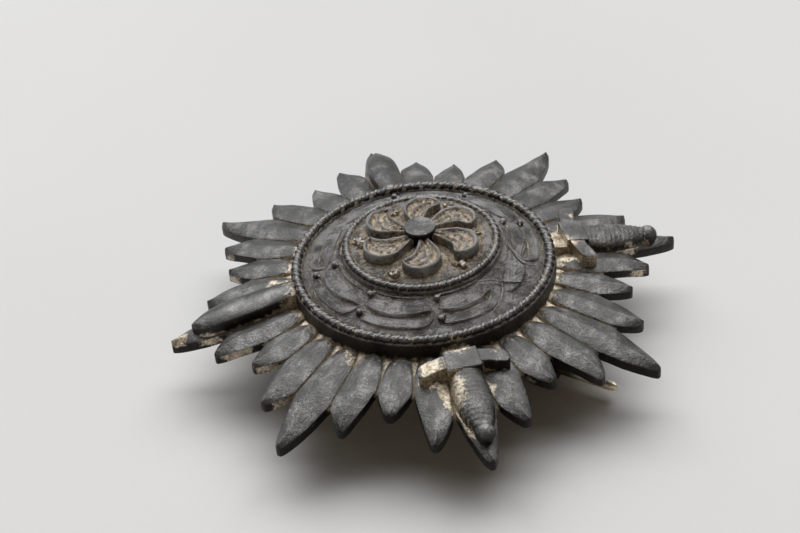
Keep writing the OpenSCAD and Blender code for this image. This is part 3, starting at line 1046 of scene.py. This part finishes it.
def gilt_of(piece, points, radius, upward, shelter, wear_and_highlight, rose):
    root = share((15.2 - radius) / 2.4) * (radius > 12.72)
    gilt = 0.8 * share((shelter - 0.16) / 0.5) + 0.7 * root + rose * (0.31 + 0.38 * share(shelter * 2))
    gilt += in_spots(points, GILT_SPOTS) + in_spots(points, WALL_SPOTS) * (upward < 0.55)
    gilt *= 1 - np.clip(1.4 * wear_and_highlight, 0, 0.75)
    if piece in (rays, blades, hilts):
        gilt += 0.25 * (upward < 0.4) * share((22.5 - radius) / 4)
    return gilt * np.where(points[:, 2] < TIP_Z - 0.6, 0.5, 1)


def note(piece, name, values):
    slot = piece.data.attributes.new(name, "FLOAT", "POINT")
    slot.data.foreach_set("value", np.asarray(values, np.float32))


for piece in STAR:
    points = mesh_of(piece)[0] / MM
    radius = np.hypot(points[:, 0], points[:, 1])
    upward = np.array([v.normal.z for v in piece.data.vertices])
    shelter = shelter_of(piece)
    wear_and_highlight = wear_and_highlight_of(piece, points, radius, upward, shelter)
    if piece in (berries, ribbon):
        shelter *= 0.4
    rose = share((7.0 - radius) / 0.6) * (radius > 1.5)
    gilt = gilt_of(piece, points, radius, upward, shelter, wear_and_highlight, rose)
    # how steep each point is; it decides where the walls get painted shade
    wall = share((0.5 - upward) / 0.35)
    notes = {"shelter": shelter, "wear_and_highlight": wear_and_highlight, "gilt": gilt, "rose": rose, "wall": wall}
    for name, values in notes.items():
        note(piece, name, values)
    print(piece.name, "is gilded by", round(float(gilt.mean()), 2), "on average")

# %% [markdown]
# ## Writing materials as sums
# A material is a small sum of patterns. It could be wired by hand in the node editor. The class
# below wraps one value of the shader instead, so that a line such as 0.6 * grain + 0.4 * patches
# adds the Math nodes by itself, and a finish reads like a recipe.

# %% A bench for materials
class Wire:
    """One value in a material. Plus, minus and times add Math nodes."""

    def __init__(self, bench, socket):
        self.bench, self.socket = bench, socket

    def __add__(self, other):
        return self.bench.math("ADD", self, other)

    def __sub__(self, other):
        return self.bench.math("SUBTRACT", self, other)

    def __rsub__(self, other):
        return self.bench.math("SUBTRACT", other, self)

    def __mul__(self, other):
        return self.bench.math("MULTIPLY", self, other)

    __radd__, __rmul__ = __add__, __mul__


class Bench:
    """A material under work."""

    def __init__(self, name):
        self.material = bpy.data.materials.new(name)
        self.material.use_nodes = True
        self.nodes, self.links = self.material.node_tree.nodes, self.material.node_tree.links
        self.nodes.clear()
        place = self.node("ShaderNodeTexCoord", out="Object")
        self.mm = self.node("ShaderNodeVectorMath", {"operation": "SCALE"},
                            {0: place, "Scale": 1 / MM}, "Vector")

    def node(self, kind, settings=None, values=None, out=0):
        """Any node: its type, its settings, the values or wires of its sockets, and its output."""
        node = self.nodes.new(kind)
        for key, value in (settings or {}).items():
            setattr(node, key, value)
        for key, value in (values or {}).items():
            if isinstance(value, Wire):
                self.links.new(value.socket, node.inputs[key])
            else:
                node.inputs[key].default_value = value
        return Wire(self, node.outputs[out]) if node.outputs else node

    def math(self, operation, a, b):
        return self.node("ShaderNodeMath", {"operation": operation}, {0: a, 1: b})

    def ramp(self, value, low, high):
        """0 below low, 1 above high and a soft step between them."""
        return self.node("ShaderNodeMapRange", {"interpolation_type": "SMOOTHSTEP"},
                         {"Value": value, "From Min": low, "From Max": high})

    def stretched(self, place, by):
        return self.node("ShaderNodeVectorMath", {"operation": "MULTIPLY"}, {0: place, 1: by}, "Vector")

    def noise(self, scale, detail, seed, place=None):
        """A cloudy pattern. Each seed looks at another part of it."""
        moved = self.node("ShaderNodeVectorMath", {"operation": "ADD"},
                          {0: place or self.mm, 1: (seed, seed * 0.7, seed * 1.3)})
        return self.node("ShaderNodeTexNoise", None,
                         {"Vector": moved, "Scale": scale, "Detail": detail, "Roughness": 0.6})

    def noted(self, name):
        return self.node("ShaderNodeAttribute", {"attribute_name": name}, out="Fac")

    def blend(self, part, a, b):
        """Colours mixed by a share of the second."""
        colours = {6: a if isinstance(a, Wire) else (*a, 1), 7: b if isinstance(b, Wire) else (*b, 1)}
        return self.node("ShaderNodeMix", {"data_type": "RGBA"}, {0: part, **colours}, out=2)

    def finish(self, colour, metal, rough, height, depth):
        """The surface itself. Its bumps follow a height pattern, with a depth in mm."""
        bump = self.node("ShaderNodeBump", None,
                         {"Strength": 1.0, "Distance": depth * MM, "Height": height})
        shader = self.node("ShaderNodeBsdfPrincipled", None,
                           {"Base Color": colour, "Metallic": metal, "Roughness": rough, "Normal": bump})
        self.node("ShaderNodeOutputMaterial", None, {"Surface": shader})
        return self.material


print("a material starts from Object coordinates, taken times", round(1 / MM), "so that they are in mm")

# %% [markdown]
# ## Worn gilt zinc
# Zinc goes dark grey with age and keeps a soft, frosty shine. The pale gilding is left in corners
# and in spots, with red-brown tarnish near it. The deepest corners hold dark oxide and painted
# shade, and steep walls get painted shade. Crests are rubbed to a lighter metal and carry painted
# highlights. Each of these is a mask from 0 to 1, made of the notes on the points and of noise
# that frays its edge, because wear never ends in a clean line.

# %% Where each finish lies
class Skin:
    """The masks of one zinc finish. A higher crust means more frost."""

    def __init__(self, bench, gild, crust, brown):
        shelter, wear_and_highlight, gilt, rose = (bench.noted(n) for n in ("shelter", "wear_and_highlight", "gilt", "rose"))
        self.patches = bench.noise(0.5, 3, 3)
        self.grain = bench.noise(4.5, 5, 11)
        fine = bench.noise(12.0, 2, 23)
        blots = bench.noise(2.0, 4, 31)
        low = 1.07 - 0.03 * crust
        self.frost = bench.ramp(fine * 0.6 + self.grain * 0.5 + self.patches * 0.9, low, low + 0.18)
        self.soil = bench.ramp(shelter * 0.8 + brown + (blots - 0.5) * 0.9, 0.2, 0.65)
        # the deepest corners: real oxide together with painted shade
        self.oxide_and_shade = bench.ramp(shelter + (blots - 0.5) * 0.3, 0.38, 0.7)
        # crests made lighter: wear and painted highlights
        self.rubbed_and_highlight = bench.ramp(wear_and_highlight + (self.grain - 0.5) * 0.35, 0.2, 0.5)
        self.gilt = bench.ramp(gilt + gild + (blots - 0.5) * 1.1 + (self.grain - 0.5) * 0.3, 0.46, 0.78)
        tarnish = bench.math("MINIMUM", gilt, 0.5) + rose * 0.3 + (bench.noise(2.4, 5, 59) - 0.5) * 2.4
        self.rust = bench.ramp(tarnish, 0.8, 1.05)
        self.rose = rose
        self.wall = bench.noted("wall")
        self.height = self.grain * 0.7 + fine * 0.4 + blots * 0.7


# The dark walls in this list are painted shade.
print("layers of a finish, from below: zinc, frost, soil, oxide, rubbed metal, dark walls, gilding, rust")

# %% The colours of the zinc and of the gilding
ZINC = ((0.092, 0.090, 0.088), (0.150, 0.147, 0.145))
# The near-black third colour stands for oxide and painted shade in the deepest corners.
FROST, SOIL, OXIDE_AND_SHADE = (0.50, 0.49, 0.48), (0.12, 0.096, 0.070), (0.026, 0.022, 0.018)
# This row holds the lighter metal of worn crests, which also carries painted highlights, the near-black
# painted shade for steep walls, and rust.
RUBBED_AND_HIGHLIGHT, WALL_SHADE, RUST = (0.34, 0.333, 0.326), (0.014, 0.012, 0.010), (0.105, 0.052, 0.028)
DULL_GOLD, PALE_GOLD, ROSE_GOLD = (0.27, 0.21, 0.14), (0.74, 0.66, 0.53), (0.24, 0.18, 0.11)


def zinc_colour(bench, skin, base, crust, wall_shade):
    dark, light = ([c * base for c in colour] for colour in ZINC)
    zinc = bench.blend(bench.ramp(skin.patches * 0.6 + skin.grain * 0.4, 0.34, 0.66), dark, light)
    zinc = bench.blend(skin.frost * min(0.65, 0.2 + 0.09 * crust), zinc, FROST)
    zinc = bench.blend(skin.soil * 0.65, zinc, SOIL)
    # oxide and painted shade darken the deepest corners
    zinc = bench.blend(skin.oxide_and_shade * 0.85, zinc, OXIDE_AND_SHADE)
    # worn crests and painted highlights are lighter
    zinc = bench.blend(skin.rubbed_and_highlight * 0.6, zinc, RUBBED_AND_HIGHLIGHT)
    # steep walls are darkened with painted shade
    return bench.blend(skin.wall * (wall_shade - skin.rubbed_and_highlight * 0.5), zinc, WALL_SHADE)


def gilded(bench, skin, zinc):
    dents = bench.ramp(skin.grain * 0.5 + bench.noise(1.6, 4, 47) * 0.5, 0.38, 0.6)
    gold = bench.blend(skin.rose * 0.2, bench.blend(dents, DULL_GOLD, PALE_GOLD), ROSE_GOLD)
    return bench.blend(skin.rust * 0.75, bench.blend(skin.gilt * 0.92, zinc, gold), RUST)


print("frost is", round(FROST[0] / ZINC[0][0], 1), "times as bright as the darkest zinc")

# %% [markdown]
# The finish differs from piece to piece: the medallion is lighter and more crusted than the rays,
# the hub has lost all its gilding, and the petals' walls get less painted shade than those of the
# rays. One function with a few settings makes them all, so that they stay one metal. The leaves'
# veins follow their UV map, because they run along the leaf and not across the star.

# %% A zinc finish for each piece
VEIN_STRETCH = (3.0, 22.0, 1.0)


def worn_zinc(name, base=1.0, gild=0.0, veins=0.0, crust=1.0, brown=0.0, wall_shade=0.9):
    bench = Bench(name)
    skin = Skin(bench, gild, crust, brown)
    colour = gilded(bench, skin, zinc_colour(bench, skin, base, crust, wall_shade))
    metal = 0.95 - skin.oxide_and_shade * 0.5 - skin.rust * 0.5 - skin.soil * 0.2 - skin.frost * 0.1
    rough = 0.36 + (skin.grain - 0.5) * 0.25 + skin.frost * 0.1 + skin.oxide_and_shade * 0.2
    rough = rough + skin.rust * 0.1 + skin.soil * 0.1 - skin.gilt * 0.06
    height = skin.height
    if veins:
        run = bench.stretched(bench.node("ShaderNodeTexCoord", out="UV"), VEIN_STRETCH)
        lines = bench.node("ShaderNodeTexNoise", None, {"Vector": run, "Scale": 1.0, "Detail": 3.0})
        height = height + lines * veins
    return bench.finish(colour, metal, rough, height, 0.06 * crust)


metals = {
    rays: worn_zinc("ray zinc", 0.92, crust=1.8),
    webs: worn_zinc("web zinc", 0.8, 0.15, brown=0.3),
    medallion: worn_zinc("medallion zinc", 1.35, 0.07, crust=5.5, brown=0.2),
    outer_rope: worn_zinc("outer rope zinc", 0.85, crust=1.8, brown=0.05),
    inner_rope: worn_zinc("inner rope zinc", 0.95, 0.05, crust=1.8, brown=0.1),
    leaves: worn_zinc("leaf zinc", 1.4, veins=0.6, crust=5, brown=0.12, wall_shade=0.4),
    berries: worn_zinc("berry zinc", 1.4, crust=2, wall_shade=0.4),
    ribbon: worn_zinc("ribbon zinc", 1.4, crust=5, brown=0.1, wall_shade=0.3),
    petals: worn_zinc("petal zinc", 1.8, 0.02, crust=3.5, brown=0.08, wall_shade=0.05),
    hub: worn_zinc("hub zinc", 0.9, -0.5, crust=2.4),
    lumps: worn_zinc("lump zinc", 1.0, 0.2, crust=1.7),
    blades: worn_zinc("blade zinc", 0.9),
    hilts: worn_zinc("hilt zinc", 1.08, crust=2.2),
    hinge: worn_zinc("hinge zinc", 0.9),
    catch: worn_zinc("catch zinc", 0.9),
}
for piece, material in metals.items():
    piece.data.materials.clear()
    piece.data.materials.append(material)
print("zinc finishes:", len(metals))

# %% [markdown]
# ## Brass and the table's finish
# The needle is pale, dull brass with fine drawing marks along it. Where it goes under the star it
# turns dark brown, which is painted shade. The marks are noise stretched along the needle, because
# they come from drawing the wire. The table is an even, pale grey with a hardly visible grain.

# %% Brass and floor
# The third brass colour is painted shade for the part of the needle under the star.
PALE_BRASS, YELLOW_BRASS, SHADED_BRASS = (0.95, 0.91, 0.78), (0.80, 0.70, 0.50), (0.10, 0.075, 0.045)
SHADE_FROM, SHADE_FULL = -17.6, -15.6
bench = Bench("pale brass")
drawn = bench.noise(1.0, 3, 5, bench.stretched(bench.mm, (9.0, 0.35, 9.0)))
stain = bench.noise(0.6, 3, 9)
along_y = bench.node("ShaderNodeSeparateXYZ", None, {0: bench.mm}, "Y")
colour = bench.blend(bench.ramp(stain, 0.4, 0.7), PALE_BRASS, YELLOW_BRASS)
# darker towards the star's middle: painted shade where the needle goes under the star
colour = bench.blend(bench.ramp(along_y, SHADE_FROM, SHADE_FULL), colour, SHADED_BRASS)
pin.data.materials.clear()
brass = bench.finish(colour, 0.95 - stain * 0.2, 0.3 + drawn * 0.2, drawn + stain * 0.4, 0.02)
pin.data.materials.append(brass)

bench = Bench("pale table")
cloud = bench.noise(0.012, 2, 2)
speck = bench.noise(1.6, 3, 8)
colour = bench.blend(cloud, (0.60, 0.595, 0.59), (0.68, 0.675, 0.67))
floor.data.materials.append(bench.finish(colour, 0.0, 0.55 + (speck - 0.5) * 0.1, speck, 0.01))
print("materials:", len(bpy.data.materials))

# %% [markdown]
# ## Handing the pieces over
# Every piece rides on the one body, and together they stand for the two solids of the frame.

# %% Ride, replace and measure
for piece in STAR:
    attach(piece, "root")
    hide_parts("star")
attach(pin, "root")
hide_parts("pin")
for piece in STAR + [pin]:
    print(piece.name, len(piece.data.polygons), "faces")
